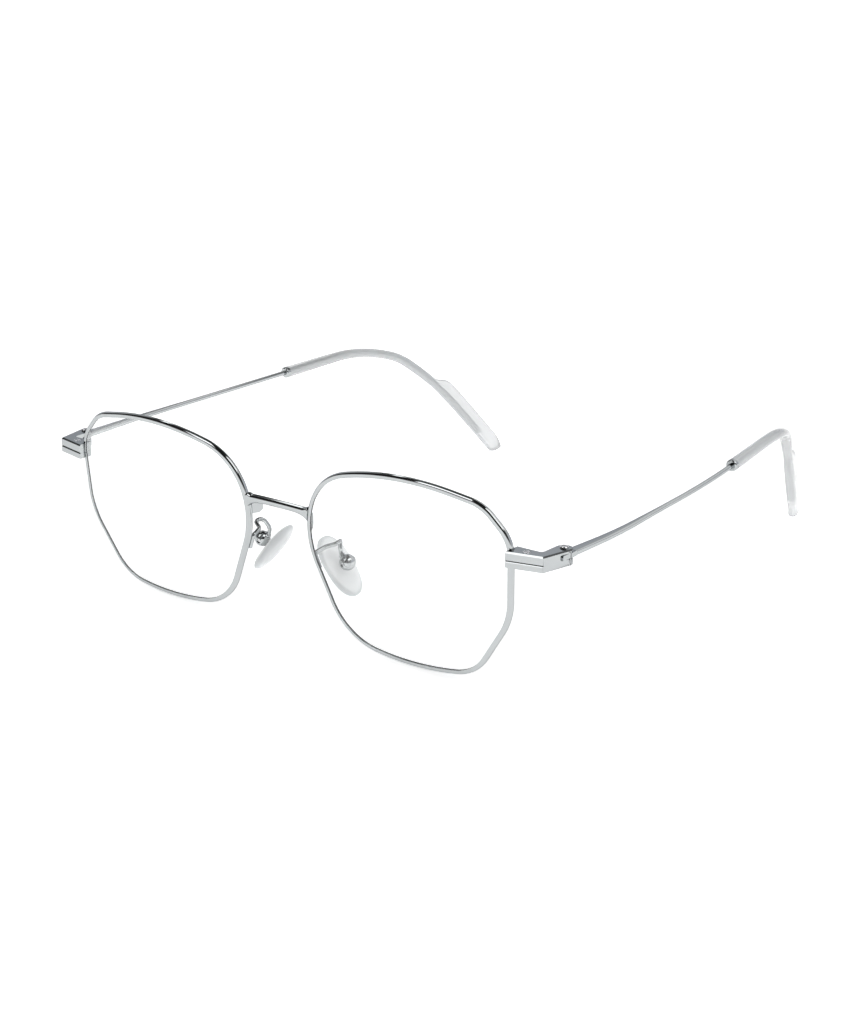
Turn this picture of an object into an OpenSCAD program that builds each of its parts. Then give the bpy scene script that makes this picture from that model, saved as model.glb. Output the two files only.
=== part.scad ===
// Wire spectacles with clear lenses, at their real size.
// The front faces -Y, the temples run towards +Y, and +X is the wearer's left.
// The open pair rests on z = 0 on the bottoms of its rims and the ends of its tips.
// Every piece is drawn for the wearer's left side, and mirrored for the right side.
// Pieces are drawn round the middle between the lenses: z = 0 there is the height
// of the lens centres and y = 0 their depth, and placed() moves the whole to the table.

/* [Lenses] */
// Width of the boxed lens shape, between the points of its edge ridge
lens_w = 52.4; // [49:0.1:56]
// Height of the boxed lens shape
lens_h = 42.4; // [40:0.1:46]
// Distance across the nose between the two boxed lens shapes
lens_gap = 18; // [16:0.5:21]
// Thickness of a lens
lens_t = 1.4; // [1.2:0.05:1.7]
// Radius of the curved face that lenses and rims lie on
face_r = 175; // [120:5:300]
// Lean of each lens, its top forward of its bottom, in degrees
lens_tilt = 6; // [2:0.5:9]
// Turn of each lens round the face, in degrees
lens_wrap = 2; // [0:0.5:5]
// Height of the pointed ridge round the lens edge
ridge_h = 0.45; // [0.3:0.05:0.5]
// Half of the ridge's width at its foot
ridge_w = 0.36; // [0.3:0.02:0.38]
// Free space between the ridge and the rim's groove
ridge_clear = 0.05; // [0.02:0.01:0.1]

/* [Rims] */
// Width of the rim wire, seen from the front
rim_w = 1.15; // [1.1:0.05:1.6]
// Depth of the rim wire, front to back
rim_d = 1.3; // [1.3:0.05:2]
// Break on the inner edges of the rim wire
rim_edge = 0.25; // [0.1:0.05:0.25]
// Rounding of the outer edges of the rim wire
rim_round = 0.55; // [0.3:0.05:0.6]
// Slit between the rim's two ends, at the end piece
rim_slit = 0.1; // [0.05:0.01:0.2]

/* [Bridge] */
// Height of the bridge's middle above the lens centres
bridge_z = 8.4; // [6:0.1:10]
// Height of the bar
bridge_h = 1.55; // [1:0.05:1.8]
// Depth of the bar, front to back
bridge_d = 1.6; // [1.2:0.05:1.75]
// How far the bar's foot runs down the rim
bridge_foot = 1.3; // [0.5:0.1:2]
// Height of the gusset plates below the bridge
gusset_h = 3; // [2:0.1:4]
// Thickness of the gusset plates
gusset_t = 0.8; // [0.6:0.05:1]
// How far the gusset plates stand behind the rims
gusset_run = 2; // [1.5:0.1:3]

/* [End pieces] */
// Height of the end piece's top above the lens centres
block_z = 10.7; // [9.5:0.1:12]
// Height of the end piece
block_h = 3.4; // [3.2:0.05:4]
// Depth of the end piece where it holds the rim
block_d = 4.35; // [4:0.05:5]
// How far the end piece stands in front of the rim's middle
block_lead = 2.2; // [2:0.05:2.6]
// How far its front falls back from the rim to the outer corner
block_sweep = 1.9; // [1:0.1:3]
// Height of the closing block under the end piece
closer_h = 1.4; // [1.2:0.05:1.5]
// Depth of the groove where the closing block meets the end piece
seam = 0.2; // [0.1:0.05:0.3]
// Bevel along the top edge of the end piece
bevel = 0.3; // [0.1:0.05:0.4]
// Width of the free space round soldered and screwed pieces
seat = 0.02; // [0.01:0.01:0.05]

/* [Hinges] */
// Distance of the hinge axis outside the boxed lens shape
hinge_out = 7.85; // [7.5:0.05:9]
// Distance of the hinge axis behind the lens centres
hinge_back = 9.5; // [9:0.1:11]
// Radius of the hinge's round end
knuckle_r = 1.8; // [1.7:0.05:2]
// Thickness of the upper cheek over the hinge slot
cheek_t = 0.75; // [0.6:0.05:0.9]
// Thickness of the hinge leaf
leaf_t = 1.05; // [0.9:0.05:1.15]
// Free space above and below the leaf, and before its heel
leaf_play = 0.05; // [0.03:0.01:0.08]
// Length of the leaf's heel, which stops the open temple
heel = 2.7; // [2.5:0.05:2.8]
// Diameter of the screws' shanks
screw_d = 1.1; // [1:0.05:1.2]
// Diameter of the screws' heads
screw_head_d = 1.85; // [1.7:0.05:2.1]
// Height of the screws' heads
screw_head_h = 0.4; // [0.3:0.05:0.5]
// Running space between the hinge screw and the leaf
hinge_clear = 0.04; // [0.02:0.01:0.08]

/* [Temples] */
// Distance from the hinge axis to the bend behind the ear
bend_y = 101; // [90:0.5:110]
// Distance from the hinge axis to the end of the tip
reach_y = 135; // [124:0.5:144]
// How far the end of the tip lies inside the hinge axis
tip_in = 21.5; // [16:0.5:24]
// Diameter of the temple wire
wire_d = 1.15; // [1:0.05:1.4]
// Width of the flattened wire at the hinge
blade_w = 2.5; // [2.2:0.05:2.9]
// Length over which the flat narrows into the wire
blade_run = 36; // [25:1:50]

/* [Tips] */
// Distance from the hinge axis to the front of the collar
collar_y = 69; // [60:0.5:76]
// Length of the collar
collar_l = 1.2; // [0.8:0.1:2]
// Diameter of the tip where it meets the collar
tip_d = 2.8; // [2.4:0.1:3.2]
// Width of the tip over the ear, seen from above
tip_over = 3.3; // [2.8:0.1:3.6]
// Height of the tip over the ear
tip_slim = 2.3; // [2:0.1:2.6]
// Thickness of the paddle
paddle_t = 2.3; // [2:0.1:2.8]
// Width of the paddle in front of the wire
paddle_front = 1.35; // [1.1:0.05:1.6]
// Width of the paddle behind the wire
paddle_rear = 3.4; // [2.6:0.1:4]
// Distance from the end of the tip to the end of the wire inside it
wire_short = 4.6; // [3:0.1:8]

/* [Nose pads] */
// Length of a pad
pad_l = 15; // [13:0.5:17]
// Width of a pad
pad_w = 7.5; // [6.6:0.1:8]
// Thickness of a pad
pad_t = 2.8; // [2.4:0.1:3.2]
// Swing of the lower end away from the nose, in degrees
pad_lean = 40; // [34:1:46]
// Turn of the pad's face towards the wearer, in degrees
pad_splay = 10; // [5:1:20]
// Depth of the insert's plate below the cushion's back
plate_deep = 0.9; // [0.6:0.1:1.2]
// Diameter of the arm's wire
arm_d = 0.95; // [0.8:0.05:1.1]
// Diameter of the ball-shaped pad box
box_d = 3.6; // [3.4:0.05:3.8]
// Thickness of the insert and its tab
insert_t = 0.9; // [0.7:0.05:1]
// Free space on each side of the tab in the box
tab_clear = 0.08; // [0.05:0.01:0.12]
// Diameter of the pad screw's shank
pad_screw_d = 1; // [0.8:0.05:1.1]

/* [Hidden] */
$fn = 48;

// Paths: a corner is its place followed by the radius that rounds it.

function unit(v) = v / norm(v);

// The points of the arc that rounds corner p between its neighbours a and b.
function corner_arc(a, p, b, r, turn, run) =
  let (
    to_a = unit(a - p),
    to_b = unit(b - p),
    half = acos(to_a * to_b) / 2,
    mid = p + unit(to_a + to_b) * r / sin(half),
    first = p + to_a * r / tan(half) - mid,
    last = p + to_b * r / tan(half) - mid,
    bend = 180 - 2 * half,
    count = max(2, ceil(max(bend / turn, bend * PI / 180 * r / run)))
  )
  [for (k = [0:count])
    mid + (first * sin((1 - k / count) * bend) + last * sin(k / count * bend)) / sin(bend)];

// All rounded corners of a closed flat outline, whose corners are [x, y, radius].
// Two arcs that would meet on the side between them are both made smaller.
function closed_path(corners, turn, run) =
  let (
    n = len(corners),
    at = [for (c = corners) [c.x, c.y]],
    reach = [for (i = [0:n - 1])
      let (half = acos(unit(at[(i + n - 1) % n] - at[i]) * unit(at[(i + 1) % n] - at[i])) / 2)
      corners[i][2] / tan(half)],
    share = [for (i = [0:n - 1])
      min(1, norm(at[(i + 1) % n] - at[i]) / (reach[i] + reach[(i + 1) % n] + 0.01))]
  )
  spaced([for (i = [0:n - 1])
    let (before = (i + n - 1) % n)
    each corner_arc(
      at[before], at[i], at[(i + 1) % n],
      corners[i][2] * min(share[before], share[i]), turn, run
    )]);

// A path without the points that almost coincide with the one before them.
function spaced(path) =
  [for (i = [0:len(path) - 1]) if (i == 0 || norm(path[i] - path[i - 1]) > 0.3) path[i]];

// An open path in space: plain ends, and rounded corners [x, y, z, radius] between them.
function open_path(first, corners, last, turn, run) =
  let (at = concat([first], [for (c = corners) [c.x, c.y, c.z]], [last]))
  concat(
    [first],
    [for (i = [1:len(corners)])
      each corner_arc(at[i - 1], at[i], at[i + 1], corners[i - 1][3], turn, run)],
    [last]
  );

// Direction of a path at point i, halfway between the pieces that meet there.
function heading(path, i) =
  i == 0 ? unit(path[1] - path[0]) :
  i == len(path) - 1 ? unit(path[i] - path[i - 1]) :
  unit(unit(path[i] - path[i - 1]) + unit(path[i + 1] - path[i]));

// The point of a path in space where it reaches the given y.
function point_at_y(path, y) = [
  lookup(y, [for (p = path) [p.y, p.x]]),
  y,
  lookup(y, [for (p = path) [p.y, p.z]])
];

// A closed skin through rings of equal length, with a fan of faces at either end.
module skin(rings) {
  n = len(rings[0]);
  m = len(rings);
  points = concat(
    [for (ring = rings) each ring],
    [mean(rings[0]), mean(rings[m - 1])]
  );
  sides = [for (r = [0:m - 2]) for (i = [0:n - 1])
    let (a = r * n + i, b = r * n + (i + 1) % n)
    each [[a, b, b + n], [a, b + n, a + n]]];
  first_end = [for (i = [0:n - 1]) [m * n, (i + 1) % n, i]];
  last_end = [for (i = [0:n - 1]) [m * n + 1, (m - 1) * n + i, (m - 1) * n + (i + 1) % n]];
  polyhedron(points, concat(sides, first_end, last_end), convexity = 6);
}

function mean(points) = [for (k = [0:2]) sum([for (p = points) p[k]]) / len(points)];

function sum(values, i = 0) = i == len(values) ? 0 : values[i] + sum(values, i + 1);

// A superellipse: power 1 is an ellipse, and smaller powers come near a rectangle.
function oval(half_x, half_y, power, count) = [for (i = [0:count - 1])
  let (a = (i + 0.5) * 360 / count)
  [
    half_x * sign(cos(a)) * pow(abs(cos(a)), power),
    half_y * sign(sin(a)) * pow(abs(sin(a)), power)
  ]];

// The curved face: each lens and rim lies on a sphere, in its own leaning frame.

half_w = lens_w / 2;
half_h = lens_h / 2;
lens_x = lens_gap / 2 + half_w;
FACE_OUT = [cos(lens_wrap), sin(lens_wrap), 0];
FACE_UP = [sin(lens_wrap) * sin(lens_tilt), -cos(lens_wrap) * sin(lens_tilt), cos(lens_tilt)];
FACE_BACK = [-sin(lens_wrap) * cos(lens_tilt), cos(lens_wrap) * cos(lens_tilt), sin(lens_tilt)];

// How far the face falls back at u outwards and v up from the lens centre.
function sag(u, v) = face_r - sqrt(face_r * face_r - u * u - v * v);

// The place of u outwards, v up and n in front of the curved face.
function face_point(u, v, n) =
  [lens_x, 0, 0] + u * FACE_OUT + v * FACE_UP + (sag(u, v) - n) * FACE_BACK;

// Puts children, drawn as [outwards, back, up], into the lens's leaning frame.
module face_frame() {
  translate([lens_x, 0, 0]) rotate([lens_tilt, 0, lens_wrap]) children();
}

// Corners of the lens shape, clockwise from the front, measured from its box.
LENS_CORNERS = [
  [half_w - 0.7, -5.3, 15.4],
  [half_w - 10.3, 1.3 - half_h, 10.8],
  [1, -0.6 - half_h, 76.9],
  [8.5 - half_w, 1.8 - half_h, 14.5],
  [-0.9 - half_w, 2.5, 18],
  [2.4 - half_w, half_h - 4.4, 14.4],
  [-1, half_h + 1.6, 64.8],
  [half_w - 6.3, half_h - 2.3, 9],
  [half_w + 0.1, half_h - 9.1, 8.1]
];
LENS_PATH = closed_path(LENS_CORNERS, 6, 3);

// Sideways place of the lens shape on its nose side and its outer side, by height.
NOSE_SIDE = [for (p = LENS_PATH) if (p.x < -0.7 * half_w) [p.y, p.x]];
OUTER_SIDE = [for (p = LENS_PATH) if (p.x > 0.7 * half_w) [p.y, p.x]];
function nose_u(v) = lookup(v, NOSE_SIDE);

// The same, moved outwards by rho at right angles to the lens shape.
function nose_out(v, rho) =
  nose_u(v) - rho * sqrt(1 + pow((nose_u(v + 1) - nose_u(v - 1)) / 2, 2));
function outer_u(v) = lookup(v, OUTER_SIDE);

// Turns a height above the lens centre into v on the face, near the given u.
function face_v(z, u) = (z - sag(u, z) * sin(lens_tilt)) / cos(lens_tilt);

groove_d = ridge_h;
rim_out = rim_w - groove_d;

// Rim wire across: [outwards from the groove's bottom, in front of the face].
RIM_SECTION = concat(
  [
    [-groove_d, rim_edge - rim_d / 2],
    [-groove_d, -ridge_w],
    [0, 0],
    [-groove_d, ridge_w],
    [-groove_d, rim_d / 2 - rim_edge],
    [rim_edge - groove_d, rim_d / 2]
  ],
  [for (a = [90:-30:-90]) [
    rim_out - rim_round * (1 - cos(a)),
    rim_round * sin(a) + sign(a) * (rim_d / 2 - rim_round)
  ]],
  [[rim_edge - groove_d, -rim_d / 2]]
);

block_low = block_z - block_h;
closer_z = block_low + closer_h;
slit_v = face_v(closer_z, half_w);
lens_count = len(LENS_PATH);

// The rim's path runs from just below the slit, round the lens, to just above it.
below_slit = [for (i = [0:lens_count - 1])
  if (LENS_PATH[i].x > 0.7 * half_w && LENS_PATH[i].y < slit_v
    && LENS_PATH[(i + lens_count - 1) % lens_count].y >= slit_v) i][0];
RIM_PATH = concat(
  [[outer_u(slit_v), slit_v - rim_slit / 2]],
  [for (i = [0:lens_count - 1])
    let (p = LENS_PATH[(below_slit + i) % lens_count])
    if (p.x < 0.7 * half_w || abs(p.y - slit_v) > 0.5) p],
  [[outer_u(slit_v), slit_v + rim_slit / 2]]
);

// One cross-section of the rim wire, at point i of its path.
function rim_ring(i) =
  let (
    p = RIM_PATH[i],
    ahead = heading(RIM_PATH, i),
    out = [-ahead.y, ahead.x]
  )
  [for (s = RIM_SECTION) face_point(p.x + s.x * out.x, p.y + s.x * out.y, s.y)];

RIM_RINGS = [for (i = [0:len(RIM_PATH) - 1]) rim_ring(i)];
rim_low = min([for (ring = RIM_RINGS) for (p = ring) p.z]);
rim_front = min([for (ring = RIM_RINGS) for (p = ring) p.y]);

module rim() {
  color("silver") skin(RIM_RINGS);
}

// A closed ring of the lens: its path moved outwards by rho, then shrunk by a factor.
function lens_ring(rho, n, factor) =
  [for (i = [0:lens_count - 1])
    let (
      p = LENS_PATH[i],
      before = LENS_PATH[(i + lens_count - 1) % lens_count],
      after = LENS_PATH[(i + 1) % lens_count],
      ahead = unit(unit(p - before) + unit(after - p)),
      q = (p + rho * [-ahead.y, ahead.x]) * factor
    )
    face_point(q.x, q.y, n)];

// The lens's faces lie inside the rim, and its ridge reaches into the rim's groove.
module lens() {
  face = ridge_h + 2 * ridge_clear;
  foot = (face - ridge_clear) * ridge_w / ridge_h;
  color("azure", 0.3) skin([
    lens_ring(-face, -lens_t / 2, 0.35),
    lens_ring(-face, -lens_t / 2, 0.7),
    lens_ring(-face, -lens_t / 2, 1),
    lens_ring(-face, -foot, 1),
    lens_ring(-ridge_clear, 0, 1),
    lens_ring(-face, foot, 1),
    lens_ring(-face, lens_t / 2, 1),
    lens_ring(-face, lens_t / 2, 0.7),
    lens_ring(-face, lens_t / 2, 0.35)
  ]);
}

// The bridge is a straight bar whose feet spread down the nose sides of the rims.

// Place just outside the rim on the nose side, v up and n in front of the face.
function rim_nose_point(v, n) = face_point(nose_out(v, rim_out + 2 * seat), v, n);

bridge_v = face_v(bridge_z, -half_w);

// Half of the bar's cross-section goes from one end of this list to the other.
function bridge_ring(t) =
  let (
    flare = pow(abs(t), 6),
    section = oval(bridge_d / 2, bridge_h / 2, 0.5, 16)
  )
  [for (s = section)
    let (
      drop = s.y < 0 ? bridge_foot * flare : bridge_foot * flare * 0.25,
      end = rim_nose_point(bridge_v + s.y + sign(s.y) * drop, -s.x)
    )
    [end.x * t, end.y, end.z]];

module bridge() {
  steps = [-1, -0.97, -0.92, -0.85, -0.75, -0.5, 0, 0.5, 0.75, 0.85, 0.92, 0.97, 1];
  color("silver") skin([for (t = steps) bridge_ring(-t)]);
}

// A small plate soldered behind the rim, leaning towards the nose.
module bridge_gusset() {
  v = bridge_v - bridge_h / 2 - gusset_h / 2 - 0.4;
  u = nose_u(v);
  lean = 0.8 * gusset_run;
  color("silver") face_frame()
    translate([u, sag(u, v) + rim_d / 2 + 2 * seat, v])
      rotate([-asin(v / face_r), 0, asin(u / face_r)])
        difference() {
          translate([0, 0, -gusset_h / 2]) linear_extrude(gusset_h)
            polygon([
              [-gusset_t / 2, 0],
              [gusset_t / 2, 0],
              [gusset_t / 2 - lean, gusset_run],
              [-gusset_t / 2 - lean, gusset_run]
            ]);
          translate([-lean, gusset_run, -gusset_h / 2]) rotate([45, 0, 0]) cube([5, 1, 1], center = true);
        }
}

// The end piece: an angled block that carries the rim, the closing block and the hinge.

rim_x = lens_x + half_w * cos(lens_wrap);
block_mid = block_z - block_h / 2;
rim_y = half_w * sin(lens_wrap) + sag(half_w, block_mid) - sin(lens_tilt) * block_mid;
block_x = rim_x - 0.1;
hinge_x = rim_x + hinge_out;
block_front = rim_y - block_lead;
slot_top = block_z - cheek_t;
slot_low = slot_top - leaf_t - 2 * leaf_play;
slot_y = hinge_back - heel - leaf_play;
BLOCK_CORNER = [hinge_x + 0.15, block_front + block_sweep];

// Outline of the whole end piece seen from above, its inner corner rounded.
module block_outline() {
  inner_x = hinge_x - knuckle_r;
  back = block_front + block_d;
  polygon(concat(
    [
      [block_x, block_front],
      BLOCK_CORNER,
      [hinge_x + knuckle_r, hinge_back],
      [inner_x, hinge_back]
    ],
    corner_arc([inner_x, hinge_back], [inner_x, back], [block_x, back], 0.8, 15, 1),
    [[block_x, back]]
  ));
  translate([hinge_x, hinge_back]) circle(knuckle_r);
}

screw_x = rim_x + 3.4;
screw_y = block_front + block_d / 2 + 0.5;

// A straight channel that takes the rim wire, between two heights.
module rim_channel(low, high) {
  v0 = face_v(low, half_w);
  v1 = face_v(high, half_w);
  u0 = outer_u(v0);
  u1 = outer_u(v1);
  gap = 0.08;
  wide = 4;
  face_frame()
    translate([(u0 + u1) / 2, sag(half_w, (v0 + v1) / 2), (v0 + v1) / 2])
      rotate([0, atan2(u1 - u0, v1 - v0), 0])
        translate([rim_out + gap - wide, -rim_d / 2 - gap, -3 * (high - low)])
          cube([wide, rim_d + 2 * gap, 6 * (high - low)]);
}

// The groove along the front, where the closing block meets the end piece.
module seam_groove() {
  run = BLOCK_CORNER - [block_x, block_front];
  translate([block_x, block_front, closer_z])
    rotate([0, 0, atan2(run.y, run.x)])
      rotate([45, 0, 0])
        cube([3 * norm(run), seam * sqrt(2), seam * sqrt(2)], center = true);
}

// The room for the closing block under the front arm, up to a mitre at the corner.
module closer_room(gap) {
  inner = [hinge_x - knuckle_r, block_front + block_d];
  beyond = 2 * unit(inner - BLOCK_CORNER);
  translate([0, 0, block_low - 1]) linear_extrude(closer_h + 1)
    polygon([
      [block_x - 1, block_front - 2],
      BLOCK_CORNER - beyond - [gap, 0],
      inner + beyond - [gap, 0],
      [block_x - 1, inner.y + 2]
    ]);
}

// A bevel along a straight top edge, between two points seen from above.
module edge_bevel(from, to) {
  translate([from.x, from.y, block_z])
    rotate([0, 0, atan2(to.y - from.y, to.x - from.x)])
      rotate([45, 0, 0])
        cube([3 * norm(to - from), bevel * sqrt(2), bevel * sqrt(2)], center = true);
}

// A block with a broken upper front edge, drawn from its front face to the rear.
module notched(length, low, high) {
  rotate([90, 0, 90]) linear_extrude(length, center = true)
    polygon([[0, low], [0, high - 0.35], [0.2, high - 0.1], [0.7, high], [9, high], [9, low]]);
}

module end_piece() {
  color("silver") difference() {
    translate([0, 0, block_low]) linear_extrude(block_h) block_outline();
    closer_room(0);
    rim_channel(closer_z, block_z);
    seam_groove();
    edge_bevel([block_x, block_front], BLOCK_CORNER);
    edge_bevel(BLOCK_CORNER, [hinge_x + knuckle_r, hinge_back]);
    translate([hinge_x, slot_y, 0]) notched(9, slot_low, slot_top);
    translate([hinge_x, hinge_back, block_low - 1]) cylinder(h = block_h + 2, d = screw_d + 2 * seat);
    translate([screw_x, screw_y, block_low]) cylinder(h = block_h + 1, d = screw_d + 2 * seat);
    translate([screw_x, screw_y, block_z - screw_head_h])
      cylinder(h = screw_head_h + 1, d = screw_head_d + 2 * seat);
  }
}

module closing_block() {
  color("silver") difference() {
    intersection() {
      translate([0, 0, block_low]) linear_extrude(closer_h - seat) block_outline();
      closer_room(seat);
    }
    rim_channel(block_low, closer_z);
    seam_groove();
    translate([screw_x, screw_y, block_low - 1]) cylinder(h = closer_h + 2, d = screw_d + 2 * seat);
  }
}

// A slotted screw that hangs from the underside of its head, at z = 0.
module slotted_screw(length, shank_d, head_d, head_h) {
  color("gainsboro") difference() {
    union() {
      translate([0, 0, -length]) cylinder(h = length, d = shank_d);
      cylinder(h = head_h * 0.6, d = head_d);
      translate([0, 0, head_h * 0.6])
        cylinder(h = head_h * 0.4, d1 = head_d, d2 = head_d - head_h * 0.8, $fn = 32);
    }
    translate([0, 0, head_h]) cube([head_d + 1, head_d * 0.2, head_h * 0.8], center = true);
  }
}

module rim_screw() {
  translate([screw_x, screw_y, block_z - screw_head_h + seat])
    slotted_screw(block_h - screw_head_h, screw_d, screw_head_d, screw_head_h);
}

module hinge_screw() {
  translate([hinge_x, hinge_back, block_z + seat])
    slotted_screw(block_h, screw_d, screw_head_d, screw_head_h);
}

// The hinge leaf: a round eye with a square heel outside and a tongue to the temple.
tongue_l = knuckle_r + 0.05;
leaf_z = (slot_top + slot_low) / 2;

module hinge_leaf() {
  color("silver") translate([hinge_x, hinge_back, leaf_z]) difference() {
    union() {
      translate([0, 0, -leaf_t / 2]) linear_extrude(leaf_t) {
        circle(knuckle_r - 0.1);
        translate([0.6 - blade_w / 2, 0]) square([blade_w, tongue_l]);
      }
      intersection() {
        translate([0, -heel, 0]) notched(9, -leaf_t / 2, leaf_t / 2);
        translate([0, -heel, -leaf_t]) cube([knuckle_r - 0.15, heel, 2 * leaf_t]);
      }
    }
    cylinder(h = leaf_t + 2, d = screw_d + 2 * hinge_clear, center = true);
  }
}

// The temple: a wire along one path from the hinge leaf to inside the tip.

hinge = [hinge_x, hinge_back, leaf_z];
floor_z = rim_low;

// The last corners share out the length behind the ear and the way down to the table.
EAR = [-9.8, bend_y + 6, -0.4];
behind_ear = reach_y - EAR.y;

function temple_path(foot) = open_path(
  [0.6, tongue_l + seat, 0],
  [
    [1.2, 17.5, 0.1, 170],
    [-0.8, 58, 1.1, 400],
    [-5.3, bend_y - 5.5, 3.1, 40],
    [EAR.x, EAR.y, EAR.z, 0.71 * behind_ear],
    [
      EAR.x - 0.43 * (tip_in + EAR.x),
      EAR.y + 0.41 * behind_ear,
      EAR.z + 0.316 * (foot - EAR.z),
      3.2 * behind_ear
    ]
  ],
  [-tip_in, reach_y, foot],
  8, 7
);

// Side direction of a path that runs towards heading t: level, and away from the nose.
function side_of(t) = unit([1, 0, 0] - t.x * t);

// A ring round point i: half widths to the side, and in front of and behind the wire.
function temple_ring(path, i, side, front, rear, power, count) =
  let (
    t = heading(path, i),
    s = side_of(t),
    up = cross(s, t)
  )
  [for (q = oval(1, 1, power, count))
    path[i] + s * q.x * side + up * q.y * (q.y > 0 ? rear : front)];

// Half widths of the tip by distance from the hinge: to the side, front and rear.
step_y = EAR.y + 0.375 * behind_ear;
TIP_SIDE = [
  [collar_y, tip_d / 2],
  [collar_y + 14, tip_d / 2 + 0.1],
  [bend_y - 4, tip_over / 2],
  [bend_y + 6, tip_over / 2],
  [step_y + 2, paddle_t / 2]
];
TIP_FRONT = [
  [collar_y, tip_d / 2],
  [bend_y - 4, tip_slim / 2],
  [step_y, tip_slim / 2],
  [step_y + 4, paddle_front]
];
TIP_REAR = [
  [collar_y, tip_d / 2],
  [bend_y - 4, tip_slim / 2],
  [step_y - 2, tip_slim / 2],
  [step_y, tip_slim / 2 + 0.3],
  [step_y + 2.2, paddle_rear]
];

function tip_ring(path, i, factor) =
  let (y = path[i].y)
  temple_ring(
    path, i,
    lookup(y, TIP_SIDE) * factor,
    lookup(y, TIP_FRONT) * factor,
    lookup(y, TIP_REAR) * factor,
    lookup(y, [[step_y, 1], [step_y + 3, 0.8]]),
    16
  );

// The whole path with stations added where the collar, the wire and the tip end.
function stations(path) =
  let (
    marks = [collar_y, collar_y + collar_l, step_y - 2, step_y, step_y + 2.2,
      reach_y - wire_short, reach_y - 1.2, reach_y - 0.4],
    kept = [for (p = path) if (min([for (m = marks) abs(p.y - m)]) > 0.25) p],
    last = len(kept) - 1
  )
  [for (i = [0:last]) each concat(
    [kept[i]],
    [for (m = marks) if (i < last && m > kept[i].y && m < kept[i + 1].y) point_at_y(path, m)]
  )];

function first_at(path, y) = [for (i = [0:len(path) - 1]) if (path[i].y > y - 0.01) i][0];

// The tip's lowest point touches the table, so its path ends that far above it.
ROUGH_PATH = stations(temple_path(floor_z - hinge.z));
foot_rise = ROUGH_PATH[len(ROUGH_PATH) - 1].z
  - min([
    for (i = [len(ROUGH_PATH) - 4:len(ROUGH_PATH) - 1])
      for (p = tip_ring(ROUGH_PATH, i, end_factor(ROUGH_PATH, i))) p.z
  ]);
TEMPLE_PATH = stations(temple_path(floor_z - hinge.z + foot_rise));
collar_i = first_at(TEMPLE_PATH, collar_y);
tip_i = first_at(TEMPLE_PATH, collar_y + collar_l);
wire_i = first_at(TEMPLE_PATH, reach_y - wire_short);
last_i = len(TEMPLE_PATH) - 1;

// The tip's end is rounded by shrinking its last rings.
function end_factor(path, i) =
  lookup(path[i].y, [[reach_y - 1.2, 1], [reach_y - 0.4, 0.85], [reach_y, 0.55]]);

TIP_RINGS = [for (i = [tip_i:last_i]) tip_ring(TEMPLE_PATH, i, end_factor(TEMPLE_PATH, i))];
tip_back = max([for (ring = TIP_RINGS) for (p = ring) p.y]) + hinge.y;

// A ring of the wire itself: flat at the hinge, and round past the blade.
function wire_ring(i) =
  let (
    y = TEMPLE_PATH[i].y,
    side = lookup(y, [[tongue_l, blade_w / 2], [tongue_l + blade_run, wire_d / 2]]),
    power = lookup(y, [[tongue_l, 0.4], [tongue_l + blade_run, 1]])
  )
  temple_ring(TEMPLE_PATH, i, side, wire_d / 2, wire_d / 2, power, 12);

module temple() {
  color("silver") translate(hinge) skin([for (i = [0:wire_i]) wire_ring(i)]);
}

// The clear tip, with a blind bore for the wire.
module temple_tip() {
  bore = wire_d / 2 + 0.05;
  color("whitesmoke", 0.5) translate(hinge) skin(concat(
    TIP_RINGS,
    [let (
      end = TEMPLE_PATH[wire_i],
      ahead = heading(TEMPLE_PATH, wire_i)
    )
    [for (p = temple_ring(TEMPLE_PATH, wire_i, bore, bore, bore, 1, 16))
      end + (p - end) * 0.9 + ahead * 0.1]],
    [for (i = [wire_i:-1:tip_i]) temple_ring(TEMPLE_PATH, i, bore, bore, bore, 1, 16)]
  ));
}

// The collar: a turned ring on the wire, in front of the tip.
module tip_collar() {
  start = TEMPLE_PATH[collar_i];
  ahead = unit(TEMPLE_PATH[tip_i] - start);
  long = norm(TEMPLE_PATH[tip_i] - start) - seat;
  bore = wire_d / 2 + seat;
  wide = tip_d / 2;
  color("silver") translate(hinge + start)
    rotate([0, acos(ahead.z), atan2(ahead.y, ahead.x)])
      rotate_extrude()
        polygon(concat(
          [[bore, 0]],
          [for (a = [0:15:90]) [wide - 0.4 + 0.4 * sin(a), 0.4 - 0.4 * cos(a)]],
          [[wide, long], [bore, long]]
        ));
}

// The nose pads: each rocks on a screw through a ball-shaped box on a bent wire arm.

// The pad's screw axis, and the pad's frame: +X away from the nose, +Z its upper end.
PAD_AXIS = [lens_gap / 2 + 3.7, 9.1, -4.4];

module pad_frame() {
  translate(PAD_AXIS) rotate([0, -pad_lean, 0]) rotate([0, 0, -pad_splay]) children();
}

box_r = box_d / 2;

// The box's neck leans further than the pad, so that the pad can rock behind it.
neck_lean = pad_lean + 15;
neck_top = box_r + 0.4;
neck_tilt = neck_lean - pad_lean;
NECK = [
  -sin(neck_tilt) * cos(pad_splay) * cos(pad_lean) - cos(neck_tilt) * sin(pad_lean),
  sin(neck_tilt) * sin(pad_splay),
  cos(neck_tilt) * cos(pad_lean) - sin(neck_tilt) * cos(pad_splay) * sin(pad_lean)
];

module pad_box() {
  slot = insert_t + 2 * tab_clear;
  color("silver") pad_frame() difference() {
    union() {
      sphere(box_r);
      rotate([0, -neck_tilt, 0]) cylinder(h = neck_top, d = arm_d + 0.4);
    }
    translate([-box_r - 1, -slot / 2, -box_r * 0.75])
      cube([box_r + 1 + pad_screw_d / 2 + 0.5, slot, box_r * 1.42]);
    rotate([90, 0, 0]) cylinder(h = 2 * box_r, d = pad_screw_d + 2 * seat, center = true);
    translate([0, box_r - 0.35, 0]) rotate([-90, 0, 0]) cylinder(h = 1, d = pad_screw_d + 0.7);
  }
}

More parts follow.
